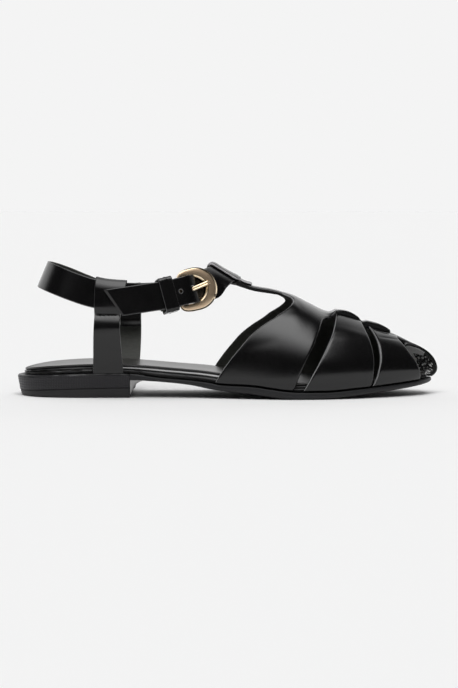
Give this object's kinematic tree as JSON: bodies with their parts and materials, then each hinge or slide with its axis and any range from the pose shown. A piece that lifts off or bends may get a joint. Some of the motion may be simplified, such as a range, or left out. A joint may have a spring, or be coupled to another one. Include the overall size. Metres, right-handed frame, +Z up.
{
  "type": "ankle strap sandal",
  "caption": "Flat T-bar sandal for the right foot: crossing leather straps over an open almond toe, low heel, and an ankle strap through upright loops that closes with a buckle.",
  "frame": {"origin": "middle of the heel's tread, on the floor that the sandal stands on", "axes": "+X along the foot to the toe, +Y to the inner (medial) side of the right foot, +Z up"},
  "size_m": [0.2553, 0.0845, 0.081],
  "materials": {
    "upper_leather": "smooth semi-gloss black",
    "strap_leather": "smooth semi-gloss black",
    "sock_leather": "smooth black lining leather",
    "board_cover": "wrapped black leather",
    "heel_cover": "black leather cover with a fine grain",
    "tread_rubber": "satin black",
    "buckle_metal": "pale gold, brushed face and polished edges"
  },
  "bodies": {
    "root": {"ankle_strap": "strap_leather", "buckle_frame": "buckle_metal", "buckle_prong": "buckle_metal", "heel_block": "heel_cover", "heel_top_lift": "tread_rubber", "insole": "sock_leather", "keeper": "strap_leather", "midsole": "board_cover", "outsole": "tread_rubber", "post_lateral": "strap_leather", "post_medial": "strap_leather", "upper": "upper_leather"}
  },
  "joints": []
}
